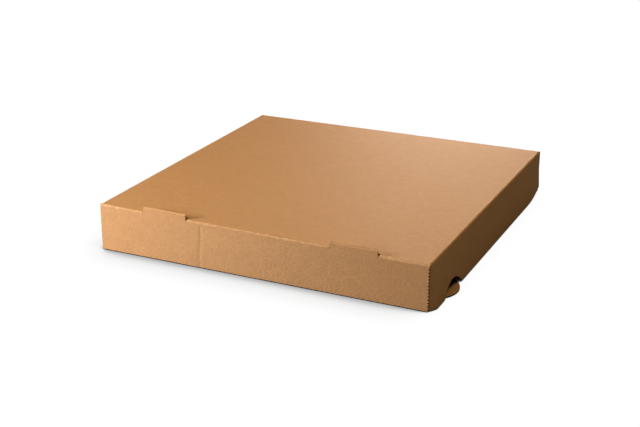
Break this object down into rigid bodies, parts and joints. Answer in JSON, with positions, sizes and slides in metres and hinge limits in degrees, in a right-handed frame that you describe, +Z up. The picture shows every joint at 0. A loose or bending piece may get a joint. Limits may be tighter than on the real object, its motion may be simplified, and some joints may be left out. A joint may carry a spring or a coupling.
{
  "type": "pizza box",
  "caption": "Flat square pizza box folded from brown corrugated board, with a hinged lid, flaps hanging outside the tray, upright front tabs and half-round side vents.",
  "frame": {"origin": "middle of the box's underside, on the floor it stands on", "axes": "+X to the right across the front, +Y from the front flap to the back wall, +Z up"},
  "size_m": [0.3478, 0.33, 0.05],
  "materials": {
    "kraft_board": "matt unprinted brown kraft liner"
  },
  "bodies": {
    "tray": {"tray": "kraft_board"},
    "lid": {"lid_panel": "kraft_board"},
    "front_flap": {"front_flap": "kraft_board"},
    "left_flap": {"left_flap": "kraft_board"},
    "right_flap": {"right_flap": "kraft_board"}
  },
  "joints": [
    {"name": "lid_hinge", "type": "hinge", "parent": "tray", "child": "lid", "pos_m": [0, 0.165, 0.045], "axis": [-1, 0, 0], "range_deg": [0, 180]},
    {"name": "front_flap_fold", "type": "hinge", "parent": "lid", "child": "front_flap", "pos_m": [0, -0.165, 0.045], "axis": [-1, 0, 0], "range_deg": [0, 90]},
    {"name": "left_flap_fold", "type": "hinge", "parent": "lid", "child": "left_flap", "pos_m": [-0.165, 0, 0.045], "axis": [0, 1, 0], "range_deg": [0, 85]},
    {"name": "right_flap_fold", "type": "hinge", "parent": "lid", "child": "right_flap", "pos_m": [0.165, 0, 0.045], "axis": [0, -1, 0], "range_deg": [0, 85]}
  ]
}
